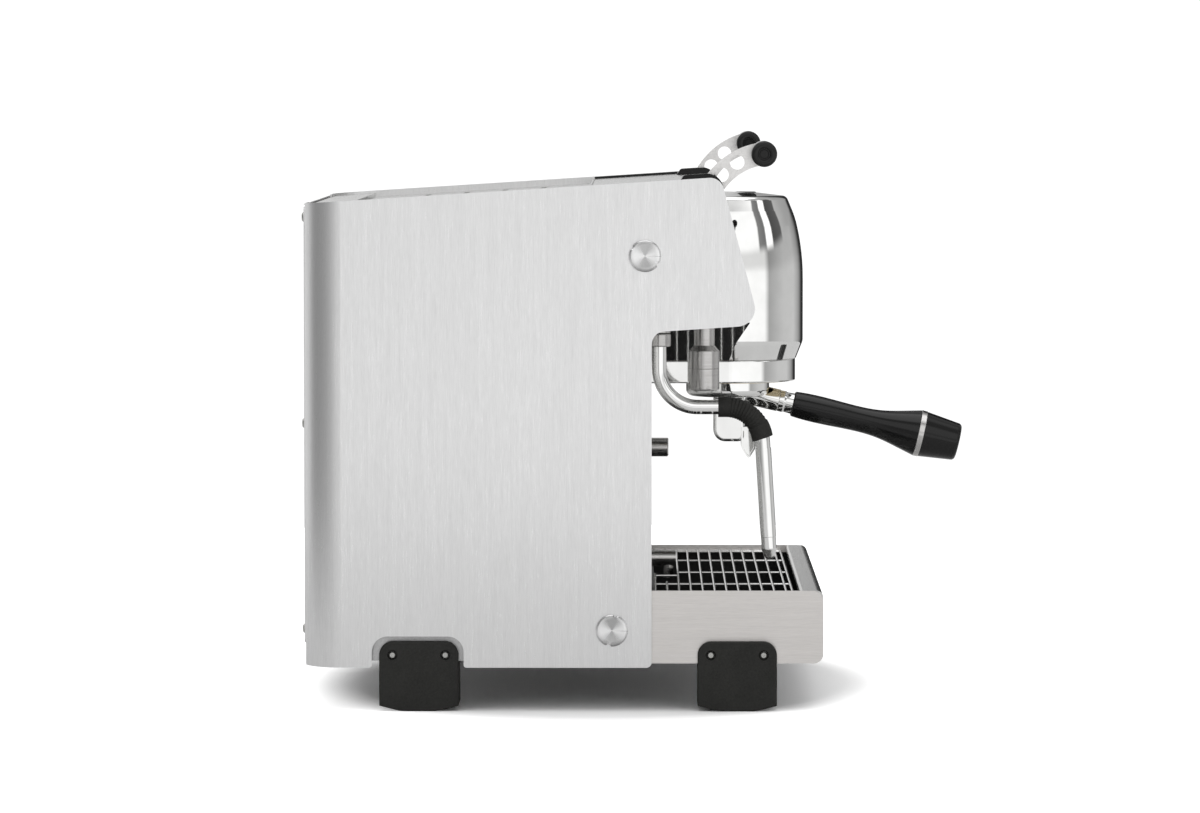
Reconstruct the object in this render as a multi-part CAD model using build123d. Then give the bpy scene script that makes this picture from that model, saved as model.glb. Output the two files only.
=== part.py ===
from build123d import *
import math
import os

# Single-group counter-top espresso machine, in millimetres.
# +Z is up, the user stands on the -Y side, and +X is to the user's right.
# The origin is on the counter, under the centre of the machine.

# ---------------------------------------------------------------- driving sizes
SHEET = 1.5                 # stainless sheet
HALF_WIDTH = 206.0          # outer face of a side panel
REAR_Y = 242.9              # rear face of the side panels' returns
REAR_BEND = 27.0            # plan radius of the rear vertical corners
RETURN_X = 150.0            # where a side panel's rear return ends
PANEL_FRONT_Y = -8.3        # front edge of the lower side panel
PANEL_BOTTOM_Z = 31.6
NOSE_CORNER = (-86.2, 279.2)    # sharp corner of the nose, before rounding
TOP_CORNER = (-57.8, 385.6)     # sharp top front corner, before rounding
REAR_TOP_Z = 366.5
TOP_SLOPE = (TOP_CORNER[1] - REAR_TOP_Z) / (REAR_Y - TOP_CORNER[0])
NOSE_SLOPE = 0.0654         # rise of the nose's underside, per mm forward
NOSE_ROOT_Z = 274.1         # underside level at the lower panel's front edge

FLOOR_Z = 36.0              # underside of the chassis floor
FLOOR_SHEET = 2.0
CHASSIS_X = 199.5           # outer face of the chassis side walls
BACKSPLASH_Y = -4.5         # front face of the backsplash

FOOT_WIDTH = 57.3
FOOT_HEIGHT = 50.5
FOOT_OUTER_X = 207.0
FOOT_INNER_X = 164.0
FRONT_FOOT_Y = -70.2
REAR_FOOT_Y = 159.8
FOOT_SCREW_Z = 40.7
FOOT_SCREW_SPREAD = 19.1

TRAY_FRONT_Y = -132.5
TRAY_TOP_Z = 87.0
PAN_X = 197.0
PAN_FLOOR_Z = 39.0
WIRE_R = 0.9
GRID_Z = 84.0
GRID_PITCH = 8.65
GRID_FIRST_Y = -11.2
GRID_ROWS = 12

GROUP_Y = -66.2             # vertical axis of the brew group
COVER_R = 56.8
COVER_WALL = 2.0
COLLAR_R = 51.0
COLLAR_BOTTOM_Z = 229.0
COLLAR_TOP_Z = 246.0
RING_R = 47.0
BUTTON_Y = -79.5
BUTTON_R = 8.0

HANDLE_START = (-115.4, 210.9)
HANDLE_DROP = 13.1          # degrees below level
HEAD_R = 31.4

LEVER_X = 160.0
LEVER_PIVOT = (-38.0, 352.0)
LEVER_THICK = 5.0
RIGHT_LEVER_TURN = 5.6      # degrees further back than the left one, at rest
KNOB_CENTRE = (-89.7, 401.8)
KNOB_R = 9.4
KNOB_LENGTH = 40.0

WAND_X = -150.0
WAND_Y = -13.9
WAND_PIVOT_Z = 267.0
WAND_TUBE_R = 5.35
WAND_LEAN = 3.5             # degrees forward of straight down
SPOUT_X = -105.0
SPOUT_Y = -47.2

INLET_PIPE_X = -140.0
INLET_PIPE_Y = 223.0
INLET_R = 6.58              # G1/4 thread
DRAIN_X = -112.0
DRAIN_Y = 214.0
DRAIN_R = 6.0


# ---------------------------------------------------------------- helpers
def outline(corners):
    """A closed face from (u, v, corner radius) points, in order round the edge."""
    points = [(u, v) for u, v, radius in corners]
    radii = [radius for u, v, radius in corners]
    if max(radii) == 0:
        return make_face(Polyline(*points, close=True))
    return make_face(FilletPolyline(*points, radius=radii, close=True))


def slab_x(corners, x0, x1):
    """A (y, z) outline drawn out from x0 to x1."""
    return extrude(Plane.YZ.offset(x0) * outline(corners), x1 - x0)


def slab_z(corners, z0, z1):
    """An (x, y) outline drawn out from z0 to z1."""
    return extrude(Plane.XY.offset(z0) * outline(corners), z1 - z0)


def slab_y(corners, y0, y1):
    """An (x, z) outline drawn out from y0 to y1."""
    return extrude(Plane.XZ.offset(-y0) * outline(corners), y0 - y1)


def block(x0, x1, y0, y1, z0, z1):
    """A plain box between opposite corners."""
    centre = Pos((x0 + x1) / 2, (y0 + y1) / 2, (z0 + z1) / 2)
    return centre * Box(x1 - x0, y1 - y0, z1 - z0)


def rod(start, end, radius):
    """A round bar between two points."""
    run = Vector(*end) - Vector(*start)
    plane = Plane(origin=start, z_dir=run)
    return plane * Cylinder(radius, run.length, align=(Align.CENTER, Align.CENTER, Align.MIN))


def turned(corners):
    """A (radius, height, corner radius) outline turned about Z."""
    return revolve(Plane.XZ * outline(corners), Axis.Z)


def tube(points, bends, radius):
    """A round bar along straight runs joined by arcs."""
    path = FilletPolyline(*points, radius=bends)
    section = Plane(origin=path @ 0, z_dir=path % 0) * Circle(radius)
    return sweep(section, path=path)


def bent_sheet(points, thickness):
    """A folded sheet's outline: (u, v, outside bend radius) points, thickened to their right."""
    normals = []
    for (u0, v0, r0), (u1, v1, r1) in zip(points, points[1:]):
        length = math.hypot(u1 - u0, v1 - v0)
        normals.append(((v1 - v0) / length, (u0 - u1) / length))
    inside = []
    for index, (u, v, radius) in enumerate(points):
        before = normals[max(index - 1, 0)]
        after = normals[min(index, len(normals) - 1)]
        mitre = thickness / (1 + before[0] * after[0] + before[1] * after[1])
        shift_u = (before[0] + after[0]) * mitre
        shift_v = (before[1] + after[1]) * mitre
        turn = before[0] * after[1] - before[1] * after[0]
        inner_radius = radius - thickness if turn < 0 else radius + thickness
        inside.append((u + shift_u, v + shift_v, max(inner_radius, 0) if radius else 0))
    return points + inside[::-1]


def mirrored(shape):
    """The same shape on the other side of the machine."""
    return mirror(shape, about=Plane.YZ)


def pair(shape):
    """A left-hand piece with its mirror image."""
    return Compound(children=[shape, mirrored(shape)])


def save(name, shape):
    """Write one named piece."""
    solids = shape.solids() if hasattr(shape, "solids") else shape
    piece = solids[0] if len(solids) == 1 else Compound(children=list(solids))
    piece.label = name
    export_step(piece, f"parts/{name}.step")


def top_edge(y):
    """Height of the side panels' top edge."""
    return TOP_CORNER[1] - (y - TOP_CORNER[0]) * TOP_SLOPE


def nose_under(y):
    """Height of the side panels' lower nose edge."""
    return NOSE_ROOT_Z + (PANEL_FRONT_Y - y) * NOSE_SLOPE


# ---------------------------------------------------------------- casing
NUT_PLACES = [(-3.5, 329.0), (20.3, 58.8)]


def side_panel():
    """Left side panel: one sheet, bent round the rear corner, with a notch for the foot."""
    notch_front = REAR_FOOT_Y - 32.4
    notch_rear = REAR_FOOT_Y + 34.0
    profile = [
        (REAR_Y, PANEL_BOTTOM_Z, 0),
        (REAR_Y, REAR_TOP_Z, 0),
        (*TOP_CORNER, 10.0),
        (*NOSE_CORNER, 13.0),
        (PANEL_FRONT_Y, NOSE_ROOT_Z, 9.5),
        (PANEL_FRONT_Y, PANEL_BOTTOM_Z, 4.0),
        (notch_front, PANEL_BOTTOM_Z, 2.0),
        (notch_front, 54.2, 11.5),
        (notch_rear, 54.2, 11.5),
        (notch_rear, PANEL_BOTTOM_Z, 2.0),
    ]
    path = [
        (-HALF_WIDTH, -100.0, 0),
        (-HALF_WIDTH, REAR_Y, REAR_BEND),
        (-RETURN_X, REAR_Y, 0),
    ]
    sheet = slab_z(bent_sheet(path, SHEET), 20, 400)
    panel = sheet & slab_x(profile, -HALF_WIDTH - 5, -RETURN_X + 5)
    for y, z in NUT_PLACES:
        panel -= rod((-HALF_WIDTH - 5, y, z), (-HALF_WIDTH + 5, y, z), 2.6)
    return panel


def thumb_nut(y, z, turn):
    """Turned round head with a bevelled rim and two edge notches, on a short screw."""
    head = turned([(0, 0, 0), (11.6, 0, 0), (11.6, 2.4, 0), (10.2, 3.6, 0), (0, 3.6, 0)])
    for side in (0, 180):
        angle = math.radians(turn + side)
        notch = Pos(11.6 * math.cos(angle), 11.6 * math.sin(angle), 2) * Cylinder(1.3, 5)
        head -= notch
    screw = Pos(0, 0, -4.5) * Cylinder(2.5, 9)
    plane = Plane(origin=(-HALF_WIDTH, y, z), x_dir=(0, 1, 0), z_dir=(-1, 0, 0))
    return plane * (head + screw)


def thumb_nuts():
    """The four round screws that hold the side panels."""
    turns = (148, 77)
    left = [thumb_nut(y, z, turn) for (y, z), turn in zip(NUT_PLACES, turns)]
    return Compound(children=left + [mirrored(nut) for nut in left])


def back_panel():
    """Flat rear cover over the side panels' returns, with cooling slots and the inlet opening."""
    panel = slab_y([(-172, 46, 4), (172, 46, 4), (172, 365.5, 4), (-172, 365.5, 4)],
                   REAR_Y, REAR_Y + 1.3)
    for column in (-75, 75):
        for row in range(9):
            z = 250 + row * 11
            panel -= slab_y([(column - 45, z - 2, 1.9), (column + 45, z - 2, 1.9),
                             (column + 45, z + 2, 1.9), (column - 45, z + 2, 1.9)],
                            REAR_Y - 2, REAR_Y + 4)
    panel -= block(INLET_X - 14, INLET_X + 14, REAR_Y - 3, REAR_Y + 4, INLET_Z - 10.5, INLET_Z + 10.5)
    for x, z in BACK_SCREWS:
        panel -= rod((x, REAR_Y - 3, z), (x, REAR_Y + 4, z), 2.1)
    return panel


INLET_X = 112.0
INLET_Z = 86.0
BACK_SCREWS = [(-163, 56), (163, 56), (-163, 206), (163, 206), (-163, 356), (163, 356)]


def back_screws():
    """Six pan-head screws that hold the rear cover to the side panels' returns."""
    screws = []
    for x, z in BACK_SCREWS:
        head = turned([(0, 0, 0), (3.6, 0, 0), (3.6, 0.7, 0), (2.6, 1.7, 0), (0, 1.7, 0)])
        plane = Plane(origin=(x, REAR_Y + 1.3, z), x_dir=(1, 0, 0), z_dir=(0, 1, 0))
        screws.append(plane * (head + Pos(0, 0, -0.65) * Cylinder(2.0, 1.3)))
    return Compound(children=screws)


def base_frame():
    """Welded chassis: floor, low side walls, four posts, top rails and a group mounting plate."""
    floor_top = FLOOR_Z + FLOOR_SHEET
    frame = block(-CHASSIS_X, CHASSIS_X, -126, 240, FLOOR_Z, floor_top)
    for side in (-1, 1):
        inner = side * (CHASSIS_X - SHEET)
        outer = side * CHASSIS_X
        low, high = min(inner, outer), max(inner, outer)
        frame += block(low, high, 4, 240, FLOOR_Z, 60)
        for y in (2.0, 205.0):
            post_low = min(outer, outer - side * 16)
            post_high = max(outer, outer - side * 16)
            post = block(post_low, post_high, y, y + 16, FLOOR_Z, 342)
            hollow_low = min(outer - side * 2, outer - side * 18)
            hollow_high = max(outer - side * 2, outer - side * 18)
            frame += post - block(hollow_low, hollow_high, y + 2, y + 18, floor_top, 345)
        rail_low = min(outer, outer - side * 16)
        rail_high = max(outer, outer - side * 16)
        frame += block(rail_low, rail_high, 2, 221, 340, 342)
    frame += block(-CHASSIS_X, CHASSIS_X, 2, 4, 306, 342)
    frame += block(-CHASSIS_X, CHASSIS_X, 219, 221, 326, 342)
    for y, z in NUT_PLACES:
        frame -= rod((-HALF_WIDTH, y, z), (HALF_WIDTH, y, z), 2.6)
    for x, y in ((INLET_PIPE_X, INLET_PIPE_Y), (DRAIN_X, DRAIN_Y)):
        frame -= rod((x, y, FLOOR_Z - 2), (x, y, floor_top + 2), INLET_R + 0.1)
    return drilled_for_feet(frame & inside_plan(FLOOR_Z, 345))


def foot_screw_places():
    """Every foot screw's (y, z) on one side."""
    places = []
    for foot_y in (FRONT_FOOT_Y, REAR_FOOT_Y):
        for shift in (-FOOT_SCREW_SPREAD, FOOT_SCREW_SPREAD):
            places.append((foot_y + shift, FOOT_SCREW_Z))
    return places


def drilled_for_feet(shape):
    """Clearance holes for the foot screws' shanks."""
    for y, z in foot_screw_places():
        shape -= rod((-HALF_WIDTH - 10, y, z), (-190, y, z), 1.6)
        shape -= rod((190, y, z), (HALF_WIDTH + 10, y, z), 1.6)
    return shape


def foot(y):
    """Left foot: a moulded block with a side flange, two sunk screw holes and a rocker sole."""
    half = FOOT_WIDTH / 2
    profile = [
        (y - half, 4.0, 0),
        (y - 13, 0, 30),
        (y + 13, 0, 30),
        (y + half, 4.0, 0),
        (y + half, FOOT_HEIGHT, 10),
        (y - half, FOOT_HEIGHT, 10),
    ]
    inner_x = -CHASSIS_X - 1.5
    body = slab_x(profile, -FOOT_OUTER_X, -FOOT_INNER_X)
    body -= block(inner_x, -FOOT_INNER_X + 1, y - 40, y + 40, 34.0, 60)
    body = chamfer(body.faces().sort_by(Axis.X)[0].edges(), 0.8)
    for place_y, z in foot_screw_places():
        if abs(place_y - y) < half:
            body -= rod((-FOOT_OUTER_X - 1, place_y, z), (-FOOT_OUTER_X + 2.0, place_y, z), 3.7)
            body -= rod((-FOOT_OUTER_X - 1, place_y, z), (-190, place_y, z), 1.6)
    return body


def feet():
    """The four feet."""
    left = [foot(FRONT_FOOT_Y), foot(REAR_FOOT_Y)]
    return Compound(children=left + [mirrored(one) for one in left])


def foot_screws():
    """Eight cross-head screws, two in each foot."""
    screws = []
    for y, z in foot_screw_places():
        head = turned([(0, 0, 0), (2.8, 0, 0), (2.8, 0.6, 0), (1.8, 1.5, 0), (0, 1.5, 0)])
        cross = Pos(0, 0, 1.3) * (Box(3.0, 0.7, 1.0) + Box(0.7, 3.0, 1.0))
        screw = head - cross + Pos(0, 0, -3.25) * Cylinder(1.5, 6.5)
        plane = Plane(origin=(-FOOT_OUTER_X + 2.0, y, z), x_dir=(0, 1, 0), z_dir=(-1, 0, 0))
        screws.append(plane * screw)
    return Compound(children=screws + [mirrored(screw) for screw in screws])


def backsplash():
    """Flat wall behind the cups, with holes for the drain spout and the knob."""
    wall = block(-SHEET_X, SHEET_X, BACKSPLASH_Y, BACKSPLASH_Y + SHEET, 39, nose_under(0) + 1.6)
    for low, high in ((-SHEET_X, -CHASSIS_X + 0.3), (CHASSIS_X - 0.3, SHEET_X)):
        wall -= block(low, high, BACKSPLASH_Y, BACKSPLASH_Y + SHEET, 39, TRAY_TOP_Z + 0.3)
    wall -= rod((DRAIN_SPOUT_X, -10, DRAIN_SPOUT_Z), (DRAIN_SPOUT_X, 5, DRAIN_SPOUT_Z), 6.3)
    wall -= rod((KNOB_X, -10, KNOB_Z), (KNOB_X, 5, KNOB_Z), 4.5)
    return wall


DRAIN_SPOUT_X = 20.0
DRAIN_SPOUT_Z = 92.0
KNOB_X = 70.0
KNOB_Z = 173.4
SKIN = 2.0                  # the sheets between the side panels sit this far inside their outline
FACE_LEAN = (TOP_CORNER[0] - NOSE_CORNER[0]) / (TOP_CORNER[1] - NOSE_CORNER[1])
NOSE_FRONT_Y = -83.6
TOP_BEND_Y = -56.0
SHEET_X = 204.2             # half width of the sheets between the side panels
SLOT_REAR_Y = -32.7
SLOT_FRONT_Z = 364.0
SLOT_HALF_X = 7.0
STEP_Y = 36.0               # where the top cover steps down to the cup tray


def face_y(z):
    """The sloping front sheet's outer face at a height."""
    return NOSE_CORNER[0] + (z - NOSE_CORNER[1]) * FACE_LEAN + SKIN * 1.035


def sheet_top(y):
    """Height of the top sheets' outer face."""
    return top_edge(y) - SKIN


def front_cover():
    """One folded sheet: nose underside, nose, sloping front and the front half of the top."""
    path = [
        (-3.2, nose_under(-3.2) + SKIN, 0),
        (NOSE_FRONT_Y, nose_under(NOSE_FRONT_Y) + SKIN, 11.0),
        (face_y(sheet_top(TOP_BEND_Y)), sheet_top(TOP_BEND_Y), 9.0),
        (STEP_Y - 0.4, sheet_top(STEP_Y), 0),
    ]
    sheet = slab_x(bent_sheet(path, SHEET), -SHEET_X, SHEET_X)
    sheet -= u_body(cover_profile(-0.4), 0)
    sheet -= Pos(WAND_X, WAND_Y, 280) * Cylinder(5.2, 30)
    sheet -= Pos(SPOUT_X, SPOUT_Y, 280) * Cylinder(5.2, 30)
    for x in (-LEVER_X, LEVER_X):
        sheet -= lever_slot(x, SLOT_HALF_X)
    return sheet


def lever_slot(x, half_x):
    """The opening that a lever moves in, through the top and the sloping front."""
    return block(x - half_x, x + half_x, -90, SLOT_REAR_Y, SLOT_FRONT_Z, 400)


def lever_trim():
    """Black moulded edging of the left lever's slot: a proud rim and a lining through the sheet."""
    low_z = SLOT_FRONT_Z - 4
    rear_y = SLOT_REAR_Y + 3
    lift = 0.1
    rim = slab_x([
        (face_y(low_z) - lift - 0.3, low_z, 0),
        (face_y(sheet_top(TOP_BEND_Y)) - 2.2, sheet_top(TOP_BEND_Y) + 4.6, 11.5),
        (rear_y - 2, sheet_top(rear_y) + 4.6, 2.5),
        (rear_y + 1, sheet_top(rear_y) + lift, 0),
        (face_y(sheet_top(TOP_BEND_Y)) - lift, sheet_top(TOP_BEND_Y) + lift, 9.0),
        (face_y(low_z) - lift, low_z, 0),
    ], -LEVER_X - 9.5, -LEVER_X + 9.5)
    lining_path = [
        (face_y(low_z) - lift, low_z, 0),
        (face_y(sheet_top(TOP_BEND_Y)) - lift, sheet_top(TOP_BEND_Y) + lift, 9.0),
        (rear_y + 2, sheet_top(rear_y) + lift, 0),
    ]
    side = SLOT_HALF_X - 0.1
    lining = slab_x(bent_sheet(lining_path, 3.5), -LEVER_X - side, -LEVER_X + side)
    lining &= block(-LEVER_X - side, -LEVER_X + side, -90, SLOT_REAR_Y - 0.1, SLOT_FRONT_Z + 0.1, 400)
    passage = block(-LEVER_X - 5, -LEVER_X + 5, -100, SLOT_REAR_Y - 1, SLOT_FRONT_Z + 2, 420)
    return rim + lining - passage


def inside_plan(low_z, high_z):
    """The space between the side panels and their rear returns, with its rounded corners."""
    rear = REAR_Y - SHEET - 0.3
    bend = REAR_BEND - SHEET - 0.3
    return slab_z([(-SHEET_X, -140, 0), (SHEET_X, -140, 0), (SHEET_X, rear, bend),
                   (-SHEET_X, rear, bend)], low_z, high_z)


def cup_tray():
    """Sunk rear top: a folded sheet between the side panels, with warm-air slots."""
    depth = 3.0
    front = STEP_Y + SHEET
    rear = 210.0
    path = [
        (front, sheet_top(STEP_Y), 0),
        (front, sheet_top(front) - depth, 0),
        (rear, sheet_top(rear) - depth, 0),
        (rear, sheet_top(rear), 0),
        (REAR_Y, sheet_top(REAR_Y), 0),
    ]
    tray = slab_x(bent_sheet(path, SHEET), -SHEET_X, SHEET_X) & inside_plan(330, 400)
    for row in range(4):
        y = 75 + row * 30
        for column in range(7):
            x = -132 + column * 44
            tray -= slab_z([(x - 15, y - 2, 1.9), (x + 15, y - 2, 1.9),
                            (x + 15, y + 2, 1.9), (x - 15, y + 2, 1.9)], 345, 380)
    return tray


def top_edge_seal():
    """Left black seal between the top cover's edge and the side panel."""
    inner_x = -SHEET_X + 1.0
    strip = [
        (SLOT_REAR_Y + 3.2, sheet_top(SLOT_REAR_Y + 3.2) + 0.05, 0),
        (STEP_Y, sheet_top(STEP_Y) + 0.05, 0),
        (STEP_Y, sheet_top(STEP_Y) + 1.75, 0),
        (SLOT_REAR_Y + 3.2, sheet_top(SLOT_REAR_Y + 3.2) + 1.75, 0),
    ]
    return slab_x(strip, -SHEET_X - 0.2, inner_x)


# ---------------------------------------------------------------- drip tray
def tray_side_plate():
    """Left outer plate beside the drip tray, fixed to the chassis and carrying the front foot."""
    profile = [
        (TRAY_FRONT_Y, 34.3, 7.0),
        (16.0, 34.3, 0),
        (16.0, 62.0, 0),
        (-2.0, TRAY_TOP_Z, 0),
        (TRAY_FRONT_Y, TRAY_TOP_Z, 8.0),
    ]
    return drilled_for_feet(slab_x(profile, -CHASSIS_X - SHEET, -CHASSIS_X))


def drip_tray_pan():
    """Open folded pan that slides out over the chassis floor."""
    rear_y = -9.0
    front_y = TRAY_FRONT_Y + SHEET
    pan = block(-PAN_X, PAN_X, front_y, rear_y, PAN_FLOOR_Z, 81.4)
    pan -= block(-PAN_X + SHEET, PAN_X - SHEET, front_y + SHEET, rear_y - SHEET, PAN_FLOOR_Z + SHEET, 90)
    pan -= block(-PAN_X - 1, PAN_X + 1, rear_y - SHEET - 1, rear_y + 1, 75.0, 90)
    pan -= block(-PAN_X - 1, PAN_X + 1, front_y - 1, front_y + SHEET + 1, 79.0, 90)
    return pan


def tray_front_cover():
    """Folded front of the tray: a plain face, a rounded top edge and a flange with a turned lip."""
    path = [
        (TRAY_FRONT_Y, 39.2, 0),
        (TRAY_FRONT_Y, TRAY_TOP_Z, 5.0),
        (-115.6, TRAY_TOP_Z, 2.0),
        (-115.6, TRAY_TOP_Z - 5.0, 0),
    ]
    return slab_x(bent_sheet(path, SHEET), -CHASSIS_X + 0.4, CHASSIS_X - 0.4)


def tray_grid():
    """Wire cup rest: cross wires over bearer wires, with an open notch for the drain spout."""
    end_x = 195.6
    notch = (-28.0, -100.0)
    notch_end = 186.0
    bearer_z = GRID_Z - 1.4
    front_y = -110.8
    grid = rod((-end_x - WIRE_R, front_y, GRID_Z), (end_x + WIRE_R, front_y, GRID_Z), WIRE_R)
    for row in range(GRID_ROWS):
        y = GRID_FIRST_Y - row * GRID_PITCH
        runs = [(-end_x, notch[row]), (notch_end, end_x)] if row < 2 else [(-end_x, end_x)]
        for start, end in runs:
            grid += rod((start - WIRE_R, y, GRID_Z), (end + WIRE_R, y, GRID_Z), WIRE_R)
    rear_y = GRID_FIRST_Y + WIRE_R
    inner_rear_y = GRID_FIRST_Y - 2 * GRID_PITCH + WIRE_R
    for x in (-end_x, -100.0, notch_end, end_x):
        grid += rod((x, rear_y, bearer_z), (x, front_y - WIRE_R, bearer_z), WIRE_R)
    for x in (-1.0, 103.0):
        grid += rod((x, inner_rear_y, bearer_z), (x, front_y - WIRE_R, bearer_z), WIRE_R)
    grid += rod((-28.0, rear_y, bearer_z), (-28.0, inner_rear_y - 2 * WIRE_R, bearer_z), WIRE_R)
    return grid


def drain_spout():
    """Satin outlet through the backsplash, with a short stub down towards the pan."""
    spout = rod((DRAIN_SPOUT_X, 8.0, DRAIN_SPOUT_Z), (DRAIN_SPOUT_X, -27.2, DRAIN_SPOUT_Z), 6.2)
    stub = rod((DRAIN_SPOUT_X, -21.6, DRAIN_SPOUT_Z), (DRAIN_SPOUT_X, -21.6, 77.0), 3.7)
    bore = rod((DRAIN_SPOUT_X, -21.6, DRAIN_SPOUT_Z), (DRAIN_SPOUT_X, -21.6, 76.0), 2.7)
    return spout + stub - bore


def power_knob():
    """Plain turned knob on a shaft through the backsplash."""
    knob = rod((KNOB_X, -5.0, KNOB_Z), (KNOB_X, -21.8, KNOB_Z), 7.3)
    knob = chamfer(knob.faces().sort_by(Axis.Y)[0].edges(), 0.8)
    knob -= block(KNOB_X - 0.5, KNOB_X + 0.5, -24, -21.2, KNOB_Z + 1, KNOB_Z + 9)
    return knob + rod((KNOB_X, -5.5, KNOB_Z), (KNOB_X, 9.0, KNOB_Z), 3.0)


def power_switch():
    """Rotary switch body behind the backsplash, bored for the knob's shaft."""
    body = block(KNOB_X - 14, KNOB_X + 14, -3.0, 24.0, KNOB_Z - 14, KNOB_Z + 14)
    return body - rod((KNOB_X, -5, KNOB_Z), (KNOB_X, 10.0, KNOB_Z), 3.05)


# ---------------------------------------------------------------- brew group
def u_body(profile, rear_y):
    """A half outline turned about the group axis in front and run straight back behind."""
    face = outline(profile)
    round_part = Pos(0, GROUP_Y, 0) * revolve(Plane.XZ * face, Axis.Z)
    depth = rear_y - GROUP_Y
    straight = extrude(Plane.XZ.offset(-GROUP_Y) * face, -depth)
    return round_part + straight + mirrored(straight)


def cover_profile(inset):
    """Half outline of the group cover: crowned top, tapered shoulder, tucked-in foot."""
    return [
        (0, COLLAR_TOP_Z + 0.1, 0),
        (51.6 - inset, COLLAR_TOP_Z + 0.1, 0),
        (56.8 - inset, COLLAR_TOP_Z + 13.0, 9.0),
        (COVER_R - inset, 326.0, 180.0 - inset),
        (50.9 - inset, 352.0, 70.0 - inset),
        (44.2 - inset * 0.8, 368.2 - inset, 5.0),
        (22.0, 370.9 - inset, 30.0),
        (0, 371.6 - inset, 0),
    ]


def cover_skirt():
    """Left flared skirt of the cover, from the collar out to the nose's underside."""
    low_z = COLLAR_TOP_Z + 0.1
    high_z = 275.5
    section = [(-51.6, low_z, 0), (-77.0, high_z, 0), (-53.0, high_z, 0), (-50.0, 260.0, 0),
               (-50.0, low_z, 0)]
    skirt = slab_y(section, -84.0, BACKSPLASH_Y - 0.3)
    front = [(-66.0, low_z - 1, 0), (-71.5, 259.8, 25.0), (-81.7, high_z, 0), (-82.3, high_z + 1, 0),
             (-90.0, high_z + 1, 0), (-90.0, low_z - 1, 0)]
    return skirt - slab_x(front, -90.0, -40.0)


def group_cover():
    """Polished cover of the brew group, open at the back and below, with the button hole."""
    shell = u_body(cover_profile(0), BACKSPLASH_Y - 0.3)
    shell += cover_skirt() + mirrored(cover_skirt())
    inner = u_body(cover_profile(COVER_WALL), BACKSPLASH_Y + 1)
    floor_cut = Pos(0, GROUP_Y, COLLAR_TOP_Z) * Cylinder(49.6, 4)
    floor_cut += block(-49.6, 49.6, GROUP_Y, 0, COLLAR_TOP_Z - 2, COLLAR_TOP_Z + 2)
    shell -= inner + floor_cut
    shell -= Pos(0, BUTTON_Y, 365) * Cylinder(BUTTON_R + 0.4, 30)
    return shell


def group_collar():
    """Polished neck under the cover: round nose, straight sides back to the backsplash."""
    plate = Pos(0, GROUP_Y, COLLAR_BOTTOM_Z) * Cylinder(
        COLLAR_R, COLLAR_TOP_Z - COLLAR_BOTTOM_Z, align=(Align.CENTER, Align.CENTER, Align.MIN))
    plate += block(-COLLAR_R, COLLAR_R, GROUP_Y, BACKSPLASH_Y, COLLAR_BOTTOM_Z, COLLAR_TOP_Z)
    rim = plate.faces().sort_by(Axis.Z)[0].edges() + plate.faces().sort_by(Axis.Z)[-1].edges()
    rim = [edge for edge in rim if edge.center().Y < BACKSPLASH_Y - 0.1]
    plate = fillet(rim, 1.2)
    return plate - Pos(0, GROUP_Y, 237) * Cylinder(RING_R + 0.1, 40)


LOCK_TURN = 50.0            # degrees from the entry gaps to the locked place
LUG_ARC = 34.0


def sector(radius, arc, z0, z1):
    """Two opposite wedges about Z, centred on the X axis."""
    half = math.radians(arc / 2)
    reach = radius * 1.5
    points = [(0, 0, 0), (reach * math.cos(half), -reach * math.sin(half), 0),
              (reach * math.cos(half), reach * math.sin(half), 0)]
    wedge = slab_z(points, z0, z1)
    disc = Pos(0, 0, (z0 + z1) / 2) * Cylinder(radius, z1 - z0)
    return (wedge + Rot(0, 0, 180) * wedge) & disc


def bayonet_ring():
    """Ring that the portafilter's two lugs turn in: entry gaps, lug track and seal seat."""
    ring = turned([(36.6, 228.6, 0), (RING_R, 228.6, 0), (RING_R, 262.0, 0), (36.6, 262.0, 0)])
    ring -= turned([(30, 237.0, 0), (43.4, 237.0, 0), (43.4, 246.4, 0), (30, 246.4, 0)])
    gaps = Rot(0, 0, -LOCK_TURN) * sector(43.4, LUG_ARC + 6, 228, 240)
    ring -= gaps
    return Pos(0, GROUP_Y, 0) * ring


def gasket():
    """Rubber seal ring above the filter basket's rim."""
    return Pos(0, GROUP_Y, 0) * turned(
        [(29.6, 247.0, 0), (36.4, 247.0, 0), (36.4, 255.0, 0), (29.6, 255.0, 0)])


def shower_screen():
    """Pierced round screen under the group."""
    screen = turned([(0, 248.2, 0), (27.6, 248.2, 0), (27.6, 251.4, 0), (26.4, 251.4, 0),
                     (26.4, 249.2, 0), (0, 249.2, 0)])
    for ring_radius, count in ((8.0, 8), (15.0, 14), (22.0, 20)):
        for index in range(count):
            angle = 2 * math.pi * index / count
            x, y = ring_radius * math.cos(angle), ring_radius * math.sin(angle)
            screen -= Pos(x, y, 249) * Cylinder(0.9, 4)
    return Pos(0, GROUP_Y, 0) * screen


def group_head():
    """Brass brew head: water block, seal seat and a thick arm back to the chassis plate."""
    head = turned([(0, 251.5, 0), (27.6, 251.5, 0), (27.6, 262.1, 0), (44.0, 262.1, 0),
                   (44.0, 318.0, 4.0), (26.0, 330.0, 4.0), (0, 330.0, 0)])
    head = Pos(0, GROUP_Y, 0) * head
    arm = block(-26, 26, GROUP_Y, 1.8, 288, 320)
    return head + fillet(arm.edges().filter_by(Axis.Y), 6)


def brew_switch():
    """Small switch under the button, on a bracket standing on the brew head."""
    body = block(-9, 9, BUTTON_Y - 10, BUTTON_Y + 10, 340, 354)
    leg = block(-9, 9, BUTTON_Y + 8, BUTTON_Y + 10, 330.1, 340)
    return body + leg - Pos(0, BUTTON_Y, 352) * Cylinder(3.1, 10)


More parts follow.
